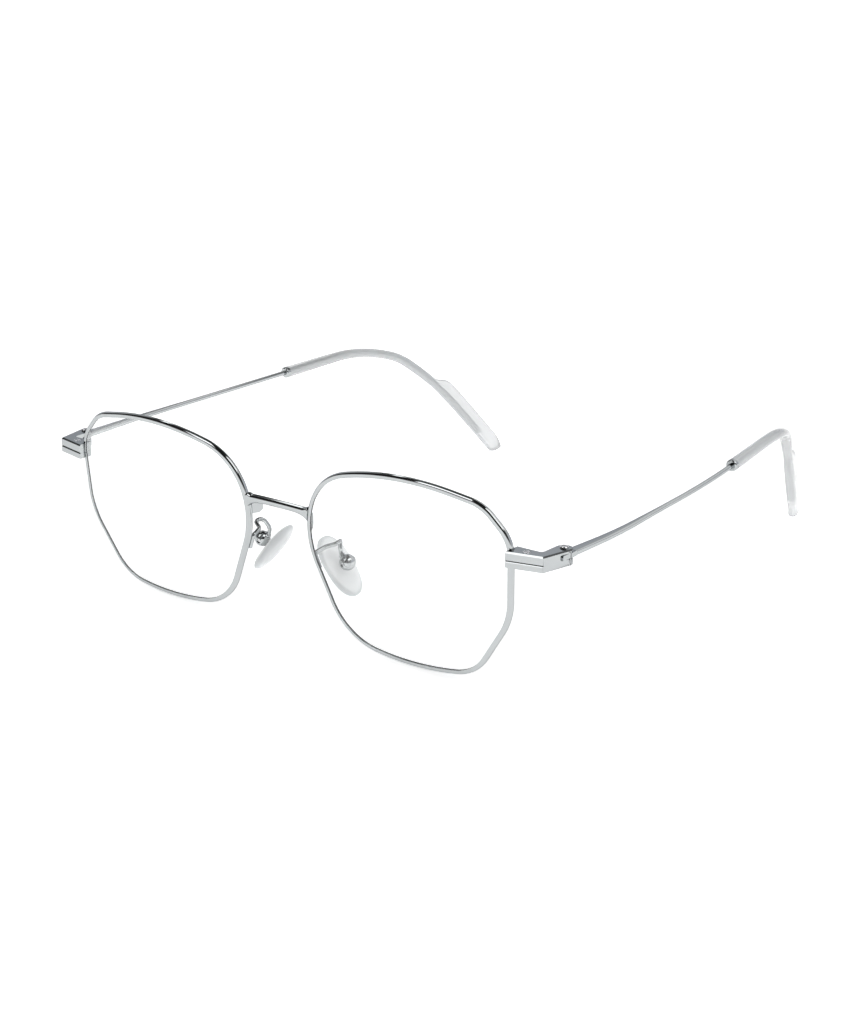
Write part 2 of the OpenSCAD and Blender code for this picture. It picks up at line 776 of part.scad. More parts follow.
module pad_screw() {
  pad_frame()
    translate([0, box_r - 0.33, 0])
      rotate([-90, 0, 0])
        slotted_screw(2 * box_r - 0.7, pad_screw_d, pad_screw_d + 0.65, 0.4);
}

// The arm's foot lies against the rim's rounded rear edge, and its other end
// is cut square to the neck of the box.
arm_low = face_v(-4.4, -half_w);
arm_high = face_v(-1.2, -half_w);
arm_turn = 20;

function arm_foot(v) =
  let (off = rim_round + arm_d / 2 + seat)
  face_point(
    nose_out(v, rim_out - rim_round + off * sin(arm_turn)),
    v,
    rim_round - rim_d / 2 - off * cos(arm_turn)
  );

// Bends of the arm from the rim to the box: place from the pad's axis, and radius.
ARM_BENDS = [
  [-2.8, -4, 4.05, 0.9],
  [-0.2, -2.8, 5.1, 1.2],
  [-1.2, -0.9, 5.1, 1.5],
  [-2.15, 0.1, 2.9, 1.6]
];

module pad_arm() {
  foot = arm_foot(arm_high);
  path = open_path(
    arm_foot(arm_low),
    concat(
      [[foot.x, foot.y, foot.z, 0.7]],
      [for (b = ARM_BENDS) [b.x + PAD_AXIS.x, b.y + PAD_AXIS.y, b.z + PAD_AXIS.z, b[3]]]
    ),
    PAD_AXIS + NECK * (neck_top + seat),
    22, 2
  );
  last = len(path) - 1;
  color("silver") skin([for (i = [0:last])
    let (
      t = i == last ? -NECK : heading(path, i),
      s = unit(cross(t, [1, 0.3, 0.2])),
      up = cross(s, t)
    )
    [for (q = oval(arm_d / 2, arm_d / 2, 1, 10)) path[i] + s * q.x + up * q.y]]);
}

// The insert: a plate inside the cushion, with a tab that the screw goes through.
pad_back = -box_r - 0.25;
pad_rise = 0.5;
plate_back = pad_back - plate_deep;
plate_t = 0.6;
plate_l = 0.62 * pad_l;
plate_w = 0.5 * pad_w;
tab_r = 0.9;
moulding = 0.04;

module pad_insert() {
  color("whitesmoke") pad_frame() difference() {
    union() {
      translate([plate_back - plate_t, 0, pad_rise]) rotate([0, 90, 0]) linear_extrude(plate_t) {
        square([plate_l - plate_w, plate_w], center = true);
        for (s = [-1, 1]) translate([s * (plate_l - plate_w) / 2, 0]) circle(plate_w / 2);
      }
      translate([plate_back - plate_t / 2, -insert_t / 2, -tab_r])
        cube([-plate_back + plate_t / 2, insert_t, 2 * tab_r]);
      rotate([90, 0, 0]) cylinder(h = insert_t, r = tab_r, center = true);
    }
    rotate([90, 0, 0]) cylinder(h = 2 * insert_t, d = pad_screw_d + 2 * hinge_clear, center = true);
  }
}

// Rings of the cushion: x away from the nose, and its half width and half length.
function cushion_ring(x, shrink) = [for (q = oval(pad_w / 2 * shrink, pad_l / 2 * shrink, 0.85, 24))
  [x, q.x, q.y + pad_rise]];

// A ring of the pocket round the plate: a straight-sided oval.
function pocket_ring(x) = [for (i = [0:23])
  let (
    a = (i + 0.5) * 15,
    half = plate_w / 2 + moulding
  )
  [x, half * cos(a), half * sin(a) + sign(sin(a)) * (plate_l - plate_w) / 2 + pad_rise]];

// A ring of the slit that the tab comes out of.
function slit_ring(x) =
  [for (q = oval(insert_t / 2 + moulding, tab_r + moulding, 0.1, 24)) [x, q.x, q.y]];

// The cushion: crowned towards the nose, flatter behind, with the pocket for the insert.
module nose_pad() {
  face = pad_back - pad_t;
  color("whitesmoke", 0.6) pad_frame() skin([
    pocket_ring(plate_back - plate_t - moulding),
    pocket_ring(plate_back + moulding),
    slit_ring(plate_back + moulding),
    slit_ring(pad_back),
    cushion_ring(pad_back, 0.74),
    cushion_ring(face + 0.8 * pad_t, 0.93),
    cushion_ring(face + 0.58 * pad_t, 1),
    cushion_ring(face + 0.4 * pad_t, 0.96),
    cushion_ring(face + 0.22 * pad_t, 0.82),
    cushion_ring(face + 0.08 * pad_t, 0.58),
    cushion_ring(face, 0.3)
  ]);
}

// Moves the whole so that it stands on z = 0 with its middle at the origin.
module placed() {
  translate([0, -(rim_front + tip_back) / 2, -floor_z]) children();
}

module left() {
  placed() children();
}

module right() {
  placed() mirror([1, 0, 0]) children();
}

placed() bridge();
left() rim();  // left_rim
right() rim();  // right_rim
left() lens();  // left_lens
right() lens();  // right_lens
left() bridge_gusset();  // left_bridge_gusset
right() bridge_gusset();  // right_bridge_gusset
left() end_piece();  // left_end_piece
right() end_piece();  // right_end_piece
left() closing_block();  // left_closing_block
right() closing_block();  // right_closing_block
left() rim_screw();  // left_rim_screw
right() rim_screw();  // right_rim_screw
left() hinge_screw();  // left_hinge_screw
right() hinge_screw();  // right_hinge_screw
left() pad_arm();  // left_pad_arm
right() pad_arm();  // right_pad_arm
left() pad_box();  // left_pad_box
right() pad_box();  // right_pad_box
left() pad_screw();  // left_pad_screw
right() pad_screw();  // right_pad_screw
left() pad_insert();  // left_pad_insert
right() pad_insert();  // right_pad_insert
left() nose_pad();  // left_nose_pad
right() nose_pad();  // right_nose_pad
left() hinge_leaf();  // left_hinge_leaf
right() hinge_leaf();  // right_hinge_leaf
left() temple();  // left_temple
right() temple();  // right_temple
left() tip_collar();  // left_tip_collar
right() tip_collar();  // right_tip_collar
left() temple_tip();  // left_temple_tip
right() temple_tip();  // right_temple_tip
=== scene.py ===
# %% [markdown]
# # Wire eyeglasses in polished metal with clear lenses
# The solids of the eyeglasses come from a CAD model that is already at its real size.
# This lesson dresses them: it loads the solids as a fixed frame, sets up a camera, a
# floor and soft light, mixes the finishes, and draws smoother skins for the pieces
# that the eye follows most, such as the rims, the bridge, the temples and the pads.

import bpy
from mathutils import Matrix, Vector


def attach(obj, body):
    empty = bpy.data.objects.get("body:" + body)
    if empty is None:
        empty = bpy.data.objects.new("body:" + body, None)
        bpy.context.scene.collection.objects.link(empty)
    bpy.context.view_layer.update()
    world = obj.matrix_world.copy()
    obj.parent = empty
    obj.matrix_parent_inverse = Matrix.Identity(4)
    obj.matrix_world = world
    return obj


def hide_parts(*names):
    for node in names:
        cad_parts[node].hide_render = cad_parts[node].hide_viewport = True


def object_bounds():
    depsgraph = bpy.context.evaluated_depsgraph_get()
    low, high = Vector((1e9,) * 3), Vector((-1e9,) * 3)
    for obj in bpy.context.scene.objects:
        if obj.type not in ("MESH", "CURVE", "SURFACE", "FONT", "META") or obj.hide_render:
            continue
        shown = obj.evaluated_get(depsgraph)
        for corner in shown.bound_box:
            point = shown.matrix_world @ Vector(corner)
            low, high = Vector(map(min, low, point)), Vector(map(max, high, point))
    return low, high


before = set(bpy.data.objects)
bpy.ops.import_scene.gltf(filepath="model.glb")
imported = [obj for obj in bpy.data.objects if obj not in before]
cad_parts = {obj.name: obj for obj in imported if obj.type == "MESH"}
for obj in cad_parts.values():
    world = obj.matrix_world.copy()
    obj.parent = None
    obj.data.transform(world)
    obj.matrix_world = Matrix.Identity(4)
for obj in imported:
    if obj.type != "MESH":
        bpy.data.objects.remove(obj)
cad_low, cad_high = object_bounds()
print("solids:", len(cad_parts))

# %% [markdown]
# ## Tools
# Blender's own modules build the meshes and the shaders, and numpy does the arithmetic
# with points. Lengths are written in millimetres, as on a drawing, and are turned into
# metres only where a mesh or a shader is made.

# %% Tools used in every cell
import math

import bmesh
import bpy
import numpy as np
from mathutils import Matrix, Vector

MM = 0.001
scene = bpy.context.scene
print("the scene is", scene.name)

# %% [markdown]
# ## The camera
# The glasses stand on a white table and are seen from the front, from the wearer's left
# and a little above, through a long lens. A long lens keeps the two rims nearly the
# same size. The camera is built from its place and the point that it looks at, and is
# rolled by a tenth of a degree, because a hand-held camera is never quite level.

# %% Camera
EYE = Vector((316.597, -424.861, 182.775)) * MM
LOOK_AT = Vector((-4.152, -14.224, 12.575)) * MM
ROLL = math.radians(0.095)

forward = (LOOK_AT - EYE).normalized()
level_right = forward.cross(Vector((0, 0, 1))).normalized()
level_up = level_right.cross(forward)
right = level_right * math.cos(ROLL) + level_up * math.sin(ROLL)
up = right.cross(forward)

camera = bpy.data.objects.new("camera", bpy.data.cameras.new("camera"))
scene.collection.objects.link(camera)
camera.data.lens = 80.31
camera.data.sensor_width = 36
camera.data.clip_start = 0.01
camera.data.clip_end = 20
camera.matrix_world = Matrix((
    (right.x, up.x, -forward.x, EYE.x),
    (right.y, up.y, -forward.y, EYE.y),
    (right.z, up.z, -forward.z, EYE.z),
    (0, 0, 0, 1),
))
scene.camera = camera
print("camera is", round((LOOK_AT - EYE).length * 1000), "mm from the point it looks at")

# %% [markdown]
# ## A small language for shaders
# A shader is a graph of nodes, and a graph is tedious to write link by link. The class
# below wraps one socket, so that sums and products of sockets can be written as plain
# expressions, and every operator adds its own Math node. Any other kind of node comes
# from one method, which takes the node's type, its settings, and its inputs.

# %% Socket wrapper and shader builder
class Wire:
    """A socket that can be used in Python expressions."""

    def __init__(self, maker, socket):
        self.maker = maker
        self.socket = socket

    def maths(self, operation, first, second):
        return self.maker.node("ShaderNodeMath", {"operation": operation}, {0: first, 1: second})

    def __add__(self, other):
        return self.maths("ADD", self, other)

    def __radd__(self, other):
        return self.maths("ADD", other, self)

    def __sub__(self, other):
        return self.maths("SUBTRACT", self, other)

    def __rsub__(self, other):
        return self.maths("SUBTRACT", other, self)

    def __mul__(self, other):
        return self.maths("MULTIPLY", self, other)

    def __rmul__(self, other):
        return self.maths("MULTIPLY", other, self)


class Maker:
    """Adds nodes to one node tree."""

    def __init__(self, tree):
        self.tree = tree
        self.tree.nodes.clear()

    def node(self, kind, settings=None, inputs=None, output=0):
        made = self.tree.nodes.new(kind)
        for name, value in (settings or {}).items():
            if name == "stops":
                self.set_stops(made.color_ramp, value)
            else:
                setattr(made, name, value)
        for key, value in (inputs or {}).items():
            if isinstance(value, Wire):
                self.tree.links.new(value.socket, made.inputs[key])
            else:
                made.inputs[key].default_value = value
        return Wire(self, made.outputs[output]) if len(made.outputs) else made

    @staticmethod
    def set_stops(ramp, stops):
        while len(ramp.elements) < len(stops):
            ramp.elements.new(0.5)
        for element, (place, colour) in zip(ramp.elements, stops):
            element.position = place
            element.color = colour


def grey(value):
    return (value, value, value, 1)


def axis_of(maker, vector, axis):
    """The X, Y or Z part of a vector."""
    return maker.node("ShaderNodeSeparateXYZ", inputs={0: vector}, output=axis)


def eased(maker, value, low, high, first, last):
    """Glides from first to last while a value goes from low to high."""
    return maker.node("ShaderNodeMapRange", {"interpolation_type": "SMOOTHSTEP"},
                      {0: value, 1: low, 2: high, 3: first, 4: last})


def blend(maker, share, first, second):
    """A colour between two colours."""
    return maker.node("ShaderNodeMix", {"data_type": "RGBA"},
                      {0: share, 6: first, 7: second}, output=2)


print("shader language is ready")

# %% [markdown]
# ## Floor and light
# The glasses stand on white paper that the light washes out to pure white, with only
# faint shadows where they touch it. Polished metal has no colour of its own: it shows
# what stands round it. So the light is a large white tent with a few dark gaps, and the
# gaps draw the thin black lines along the wires. The tent is a shader on the world, and
# depends on direction only, so it looks the same from every side.

# %% The tent of light
scene.view_settings.view_transform = "Standard"
scene.view_settings.look = "None"
world = bpy.data.worlds.new("tent")
world.use_nodes = True
scene.world = world
tent = Maker(world.node_tree)
way = tent.node("ShaderNodeTexCoord", output="Generated")
rise = axis_of(tent, way, "Z")
depth = axis_of(tent, way, "Y")

# Behind the glasses a pale wall reaches high, and in front of them the room is dark.
# Each stop is a height, from 0 at the table to 1 overhead, and the colour there.
BEHIND_STOPS = [
    (0.00, grey(0.90)),
    (0.08, (0.62, 0.64, 0.69, 1)),
    (0.35, (0.73, 0.75, 0.79, 1)),
    (0.48, grey(0.70)),
    (0.62, grey(0.30)),
    (0.74, grey(0.05)),
    (1.00, grey(0.015)),
]
BEFORE_STOPS = [
    (0.00, grey(0.80)),
    (0.07, grey(0.60)),
    (0.14, grey(0.25)),
    (0.20, grey(0.02)),
    (1.00, grey(0.015)),
]
TURN_START, TURN_END = -0.10, 0.06
behind = tent.node("ShaderNodeValToRGB", {"stops": BEHIND_STOPS}, {0: rise})
before = tent.node("ShaderNodeValToRGB", {"stops": BEFORE_STOPS}, {0: rise})
turn = eased(tent, depth, TURN_START, TURN_END, 0.0, 1.0)
walls = blend(tent, turn, before, behind)
print("walls have", len(BEHIND_STOPS), "stops behind and", len(BEFORE_STOPS), "in front")

# %% [markdown]
# ### Windows in the roof
# On the real wires a white strip lies beside each black line. In a studio it comes from
# soft boxes that stand before a dark background. Area lamps could do the same here, but
# the reflection of a lamp shifts with its distance. A patch on the world lies in the
# same direction for every piece and at every pose.

# %% Windows of light in the dark roof
sideways = axis_of(tent, way, "X")


def inside(value, low, high, edge=0.012):
    """1 where a value lies between low and high, with narrow soft edges."""
    middle = value - (low + high) / 2
    size = tent.node("ShaderNodeMath", {"operation": "ABSOLUTE"}, {0: middle})
    half = (high - low) / 2
    return eased(tent, size, half - edge, half + edge, 1.0, 0.0)


# Each window lies between two values of x and two of y, above the table, and the last
# value is its brightness.
WINDOWS = [
    (-0.636, -0.590, 0.10, 0.66, 2.20),  # a narrow window over the bridge
    (-0.680, -0.636, 0.45, 0.78, 0.02),  # its dark frame
    (-0.465, -0.120, -0.80, -0.33, 2.20),  # a window in front, for the shoulders of the rims
    (0.380, 0.750, -0.42, 0.45, 1.80),  # a window on the left, for the noses of the rims
    (-0.320, 0.500, 0.61, 0.86, 1.00),  # a pale panel behind, for the tops of the temples
]
above = tent.node("ShaderNodeMath", {"operation": "GREATER_THAN"}, {0: rise, 1: 0.0})
lit = walls
for x0, x1, y0, y1, brightness in WINDOWS:
    share = inside(sideways, x0, x1) * inside(depth, y0, y1) * above
    lit = blend(tent, share, lit, grey(brightness))
light = tent.node("ShaderNodeBackground", inputs={"Color": lit, "Strength": 1.0})
tent.node("ShaderNodeOutputWorld", inputs={"Surface": light})
print("tent has", len(world.node_tree.nodes), "nodes and", len(WINDOWS), "windows")

# %% [markdown]
# ### Floor
# The floor is a plain sheet of white paper. It gives off some light of its own, which
# together with the tent and the lamps lifts it to more than white, as in an over-exposed
# photograph. Shadows stay so faint that they can hardly be seen. Without that light of
# its own, the cushions and the tips would drop grey patches that the photograph lacks.

# %% The paper floor
paper = bpy.data.materials.new("white_paper")
paper.use_nodes = True
sheet = Maker(paper.node_tree)
place = sheet.node("ShaderNodeTexCoord", output="Object")
fibres = sheet.node("ShaderNodeTexNoise", inputs={"Vector": place, "Scale": 900.0, "Detail": 3.0})
paper_skin = sheet.node("ShaderNodeBsdfPrincipled", inputs={
    "Base Color": (0.93, 0.93, 0.93, 1), "Roughness": 0.85 + 0.1 * fibres,
    "Specular IOR Level": 0.1,
    "Emission Color": (1, 1, 1, 1), "Emission Strength": 0.57,
})
sheet.node("ShaderNodeOutputMaterial", inputs={"Surface": paper_skin})

FLOOR_REACH, FLOOR_GAP = 4.0, 0.00001  # in metres
corners = [(x * FLOOR_REACH, y * FLOOR_REACH, 0) for x, y in ((-1, -1), (1, -1), (1, 1), (-1, 1))]
floor_mesh = bpy.data.meshes.new("floor")
floor_mesh.from_pydata(corners, [], [(0, 1, 2, 3)])
floor_mesh.materials.append(paper)
floor = bpy.data.objects.new("floor", floor_mesh)
floor.location.z = cad_low.z - FLOOR_GAP
scene.collection.objects.link(floor)
print("floor lies at", round(1000 * floor.location.z, 3), "mm")

# %% [markdown]
# ### Lamps
# The clear parts and the cushions need light from the side and from above. One lamp
# alone would draw the whole frame on the floor. Five weak lamps over one another, in
# the plane of the rims, let each rim drop its shadow on itself as one thin line, and
# spread every other shadow until it can hardly be seen.

# %% A row of lamps from the left
LAMP_RISES = (30, 42, 54, 66, 78)
LAMP_SIDE_X, LAMP_SIDE_Y = -0.985, -0.17
LAMP_SIZE, LAMP_ENERGY = math.radians(9), 0.15
for number, lamp_rise in enumerate(LAMP_RISES, 1):
    angle = math.radians(lamp_rise)
    level = math.cos(angle)
    lamp_way = Vector((LAMP_SIDE_X * level, LAMP_SIDE_Y * level, math.sin(angle)))
    lamp = bpy.data.objects.new(f"lamp_{number}", bpy.data.lights.new(f"lamp_{number}", "SUN"))
    lamp.data.energy = LAMP_ENERGY
    lamp.data.angle = LAMP_SIZE
    lamp.location = lamp_way
    lamp.rotation_euler = (-lamp_way).to_track_quat("-Z", "Y").to_euler()
    lamp.visible_glossy = False
    scene.collection.objects.link(lamp)
print("lamps at", LAMP_RISES, "degrees above the table")

# %% [markdown]
# ## Finishes
# Every finish starts from the same recipe: a noise in the object's own coordinates that
# varies the roughness and the colour a little, and a fine bump. The object's own
# coordinates stay with a piece when it turns on its hinge.

# %% Recipe for a finish
def finish(name, surface):
    """Makes a material, and lets surface(maker, place) add its shader."""
    material = bpy.data.materials.new(name)
    material.use_nodes = True
    maker = Maker(material.node_tree)
    place = maker.node("ShaderNodeTexCoord", output="Object")
    maker.node("ShaderNodeOutputMaterial", inputs={"Surface": surface(maker, place)})
    print("finish", name, "has", len(material.node_tree.nodes), "nodes")
    return material


def noise(maker, place, size_mm, detail=3.0):
    """Noise whose patches are about size_mm wide, from 0 to 1."""
    return maker.node("ShaderNodeTexNoise", inputs={
        "Vector": place, "Scale": 1000.0 / size_mm, "Detail": detail})


def bump(maker, height, depth_mm):
    """Small hills of the given depth, from a value between 0 and 1."""
    return maker.node("ShaderNodeBump", inputs={"Height": height, "Distance": depth_mm * MM})


# %% [markdown]
# ### Polished metal
# The wires are plated and polished. Cloudy noise makes the plating a touch uneven, and
# much finer noise leaves the faint haze of polishing.

# %% Polished metal
def polished_surface(maker, place):
    cloud = noise(maker, place, 6.0)
    haze = noise(maker, place, 0.25, 5.0)
    return maker.node("ShaderNodeBsdfPrincipled", inputs={
        "Base Color": blend(maker, cloud, (0.49, 0.51, 0.515, 1), (0.54, 0.56, 0.565, 1)),
        "Metallic": 1.0,
        "Specular Tint": (0.48, 0.49, 0.50, 1),
        "Roughness": 0.04 + 0.03 * cloud + 0.03 * haze,
        "Normal": bump(maker, haze, 0.0015),
    })


polished = finish("polished_metal", polished_surface)

# %% [markdown]
# ### Turned screw metal
# The screws are turned from harder steel and are not plated. They could share the
# polished finish, but their heads would then vanish against the blocks. Very fine noise
# makes the marks that the lathe and the screwdriver leave.

# %% Turned screw metal
def screw_surface(maker, place):
    scratches = noise(maker, place, 0.12, 4.0)
    return maker.node("ShaderNodeBsdfPrincipled", inputs={
        "Base Color": blend(maker, scratches, (0.62, 0.62, 0.63, 1), (0.80, 0.80, 0.80, 1)),
        "Metallic": 1.0,
        "Roughness": 0.16 + 0.12 * scratches,
        "Normal": bump(maker, scratches, 0.004),
    })


screw_metal = finish("screw_metal", screw_surface)

# %% [markdown]
# ### Clear lens
# The lenses are clear plastic with a hard coating. Full transmission with the index of
# such plastic is all they need, and a trace of film keeps them from being too perfect.

# %% Clear lens
def lens_surface(maker, place):
    film = noise(maker, place, 9.0)
    return maker.node("ShaderNodeBsdfPrincipled", inputs={
        "Base Color": (0.985, 0.99, 0.99, 1),
        "Roughness": 0.004 * film,
        "Transmission Weight": 1.0,
        "IOR": 1.5,
        "Normal": bump(maker, film, 0.0005),
    })


clear_lens = finish("clear_lens", lens_surface)

# %% [markdown]
# ### Clear temple tip
# The tips are moulded from clear plastic that is a little milky, and are pushed over the
# warm wire, which shows inside as a grey streak. So the shader is partly clear and
# partly cloudy. A trace of emission stands for the light that scatters inside.

# %% Clear temple tip
def tip_surface(maker, place):
    flow = noise(maker, place, 3.0)
    return maker.node("ShaderNodeBsdfPrincipled", inputs={
        "Base Color": blend(maker, flow, (0.81, 0.82, 0.83, 1), (0.86, 0.87, 0.87, 1)),
        "Roughness": 0.10 + 0.06 * flow,
        "Transmission Weight": 0.65,
        "IOR": 1.47,
        "Specular IOR Level": 0.2,
        "Emission Color": (1, 1, 1, 1), "Emission Strength": 0.06,
        "Normal": bump(maker, flow, 0.003),
    })


clear_tip = finish("clear_tip", tip_surface)

# %% [markdown]
# ### Soft pad
# The cushions are moulded from silicone. Their colour is painted greyer near the rim, as painted
# shade for the light that leaves them sideways, and on the crown, as painted shade that dims the
# face the lamps light most. A weak glow stands for the light that scatters inside: real
# scattering in so small a piece is slow to render and noisy. Here the colour follows the place on
# the cushion, which is measured in the cushion's own directions.

# %% Soft pad
# The pad screw's place, two turns, and then length, width, thickness and upward shift.
PAD_AXIS = np.array([12.7, -63.2321, 17.1968])
PAD_LEAN, PAD_SPLAY = math.radians(40), math.radians(10)
PAD_L, PAD_W, PAD_T, PAD_RISE = 15.0, 7.5, 2.8, 0.5
BOX_R = 1.8
PAD_BACK = -BOX_R - 0.25


def pad_place(p):
    """From the pad's own frame to the table: +X away from the nose, +Z the upper end."""
    x, y, z = p
    c, s = math.cos(-PAD_SPLAY), math.sin(-PAD_SPLAY)
    x, y = c * x - s * y, s * x + c * y
    c, s = math.cos(-PAD_LEAN), math.sin(-PAD_LEAN)
    return PAD_AXIS + np.array([c * x + s * z, y, -s * x + c * z])


def on_cushion(maker, place, direction, zero, size):
    """How far a place lies from zero along a direction of the cushion, in units of size mm."""
    either_side = maker.node("ShaderNodeVectorMath", {"operation": "ABSOLUTE"}, {0: place})
    x = axis_of(maker, either_side, "X")
    y, z = axis_of(maker, place, "Y"), axis_of(maker, place, "Z")
    axis = (pad_place(direction) - PAD_AXIS) / (size * MM)
    start = float(axis @ pad_place(zero)) * MM
    return float(axis[0]) * x + float(axis[1]) * y + float(axis[2]) * z - start


def pad_surface(maker, place):
    skin_grain = noise(maker, place, 0.15, 4.0)
    middle = (0, 0, PAD_RISE)
    across = on_cushion(maker, place, (0, 1, 0), middle, PAD_W / 2)
    along = on_cushion(maker, place, (0, 0, 1), middle, PAD_L / 2)
    crown = on_cushion(maker, place, (-1, 0, 0), (PAD_BACK, 0, 0), PAD_T)
    # Painted shade: the colour turns greyer towards the cushion's rim.
    rim = eased(maker, across * across + along * along, 0.70, 1.0, 0.0, 1.0)
    silicone = blend(maker, skin_grain, (0.78, 0.80, 0.80, 1), (0.82, 0.84, 0.84, 1))
    # Painted shade: the colour is darker on the crown, the face that the lamps light most.
    painted_crown_shade = blend(maker, crown, silicone, (0.42, 0.44, 0.45, 1))
    return maker.node("ShaderNodeBsdfPrincipled", inputs={
        "Base Color": blend(maker, rim, painted_crown_shade, (0.40, 0.43, 0.44, 1)),
        "Roughness": 0.16 + 0.08 * skin_grain,
        "Transmission Weight": 0.30,
        "IOR": 1.41,
        "Specular IOR Level": 0.2,
        # A painted glow that stands for the light scattering through the silicone.
        "Emission Color": (1, 1, 1, 1), "Emission Strength": 0.26,
        "Normal": bump(maker, skin_grain, 0.004),
    })


soft_pad = finish("soft_pad", pad_surface)

# %% [markdown]
# ### Pad plate
# A stiff plate sits in each cushion, with a tab for the pad screw. It is only seen
# through the silicone, so a half clear plastic with a fine grain is enough.

# %% Pad plate
def plate_surface(maker, place):
    grain = noise(maker, place, 0.3)
    return maker.node("ShaderNodeBsdfPrincipled", inputs={
        "Base Color": blend(maker, grain, (0.80, 0.80, 0.80, 1), (0.88, 0.88, 0.88, 1)),
        "Roughness": 0.2 + 0.1 * grain,
        "Transmission Weight": 0.5,
        "IOR": 1.5,
        "Normal": bump(maker, grain, 0.004),
    })


pad_plate = finish("pad_plate", plate_surface)

# %% [markdown]
# ## Finishes on the solids that stay
# The small blocks and screws keep their solids. A weld and a narrow bevel give the edges of
# the end pieces and the closing blocks the tiny round that polishing leaves, which catches a line
# of light.

# %% Dress the solids
FINISH_OF = {
    "screw": (screw_metal, "screw_metal"),
    "insert": (pad_plate, "pad_plate"),
    "nose_pad": (soft_pad, "soft_pad"),
    "lens": (clear_lens, "clear_lens"),
    "temple_tip": (clear_tip, "clear_tip"),
}


def finish_for(name):
    for word, pair in FINISH_OF.items():
        if word in name:
            return pair
    return polished, "polished_metal"


def dress(thing, material, slot_name):
    thing.data.materials.clear()
    thing.data.materials.append(material)


def soften_edges(thing, width_mm):
    weld = thing.modifiers.new("weld", "WELD")
    weld.merge_threshold = 0.002 * MM
    bevel = thing.modifiers.new("bevel", "BEVEL")
    bevel.width = width_mm * MM
    bevel.segments = 3
    bevel.limit_method = "ANGLE"
    bevel.angle_limit = math.radians(35)
    bevel.use_clamp_overlap = True
    bevel.harden_normals = True


SOFT_EDGES_MM = {"end_piece": 0.18, "closing_block": 0.05}

for name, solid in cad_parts.items():
    dress(solid, *finish_for(name))
for word, width in SOFT_EDGES_MM.items():
    for side_name in ("left_", "right_"):
        soften_edges(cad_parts[side_name + word], width)
print("dressed", len(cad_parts), "solids")

# %% [markdown]
# ## Skins for the wires and the clear parts
# The solids are faceted, which polished metal shows at once. So the pieces that are
# swept along a path are drawn again here along the same paths, with finer steps. Their
# measurements are those of the solids, apart from a few small ones that the look asked
# for, in the rims' inner edges, the lenses, the bridge and the soles of the tips.
# A skin goes through a row of rings: every ring has the same number of points, and each
# ring is joined to the next by quads.

# %% A skin through rings
def skin(name, rings, sharp_degrees=40):
    """A mesh object through rings given in millimetres, closed by a fan at either end."""
    count = len(rings[0])
    points = [tuple(p) for ring in rings for p in ring]
    faces = []
    for here in range(0, (len(rings) - 1) * count, count):
        there = here + count
        for i in range(count):
            j = (i + 1) % count
            faces.append((here + i, here + j, there + j, there + i))
    for ring_start, ring, turn in ((0, rings[0], -1), ((len(rings) - 1) * count, rings[-1], 1)):
        points.append(tuple(np.mean(ring, axis=0)))
        for i in range(count):
            pair = (ring_start + i, ring_start + (i + 1) % count)
            faces.append((*pair[::turn], len(points) - 1))
    mesh = bpy.data.meshes.new(name)
    mesh.from_pydata([(x * MM, y * MM, z * MM) for x, y, z in points], [], faces)
    mesh.validate()
    turn_outwards(mesh)
    mesh.shade_smooth()
    mesh.set_sharp_from_angle(angle=math.radians(sharp_degrees))
    made = bpy.data.objects.new(name, mesh)
    scene.collection.objects.link(made)
    return made


def turn_outwards(mesh):
    """Makes all faces point outwards. A mesh turned inside out has a negative volume."""
    work = bmesh.new()
    work.from_mesh(mesh)
    if work.calc_volume(signed=True) < 0:
        bmesh.ops.reverse_faces(work, faces=work.faces)
    work.to_mesh(mesh)
    work.free()


# %% [markdown]
# ### Left and right
# The glasses are symmetrical, so each skin is drawn once, for the wearer's left, and
# mirrored for the right. Each skin takes the place of one solid and is parented to an empty
# for the body that this solid belongs to.

# %% Place a piece for each side
def both_sides(word, draw, material, slot_name, body, sharp_degrees=40):
    """Draws the wearer's left piece and its mirror image, in place of the two solids."""
    made = []
    for side_name, flip in (("left", 1), ("right", -1)):
        rings = [[(flip * p[0], p[1], p[2]) for p in ring] for ring in draw()]
        piece = skin(f"{side_name}_{word}_skin", rings, sharp_degrees)
        dress(piece, material, slot_name)
        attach(piece, body.format(side=side_name))
        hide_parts(f"{side_name}_{word}")
        made.append(piece)
    print(word, "has", len(made[0].data.polygons), "faces on each side")
    return made


# %% [markdown]
# ### Rounded corners
# The rims, the temples and the pad arms are all wires bent round corners. A path is a
# list of corners with a radius each, and each corner becomes an arc that touches both
# of its sides. This works in the flat and in space alike.

# %% Arcs and paths
def unit(v):
    return v / np.linalg.norm(v)


def corner_arc(before, corner, after, radius, step):
    """Points on the arc that rounds a corner, at most step mm and 3 degrees apart."""
    to_a, to_b = unit(before - corner), unit(after - corner)
    half = math.acos(to_a @ to_b) / 2
    middle = corner + unit(to_a + to_b) * radius / math.sin(half)
    first = corner + to_a * radius / math.tan(half) - middle
    last = corner + to_b * radius / math.tan(half) - middle
    bend = math.pi - 2 * half
    count = max(4, math.ceil(bend * radius / step), math.ceil(bend / math.radians(3)))
    points = []
    for share in np.linspace(0, 1, count + 1):
        turned = first * math.sin((1 - share) * bend) + last * math.sin(share * bend)
        points.append(middle + turned / math.sin(bend))
    return points


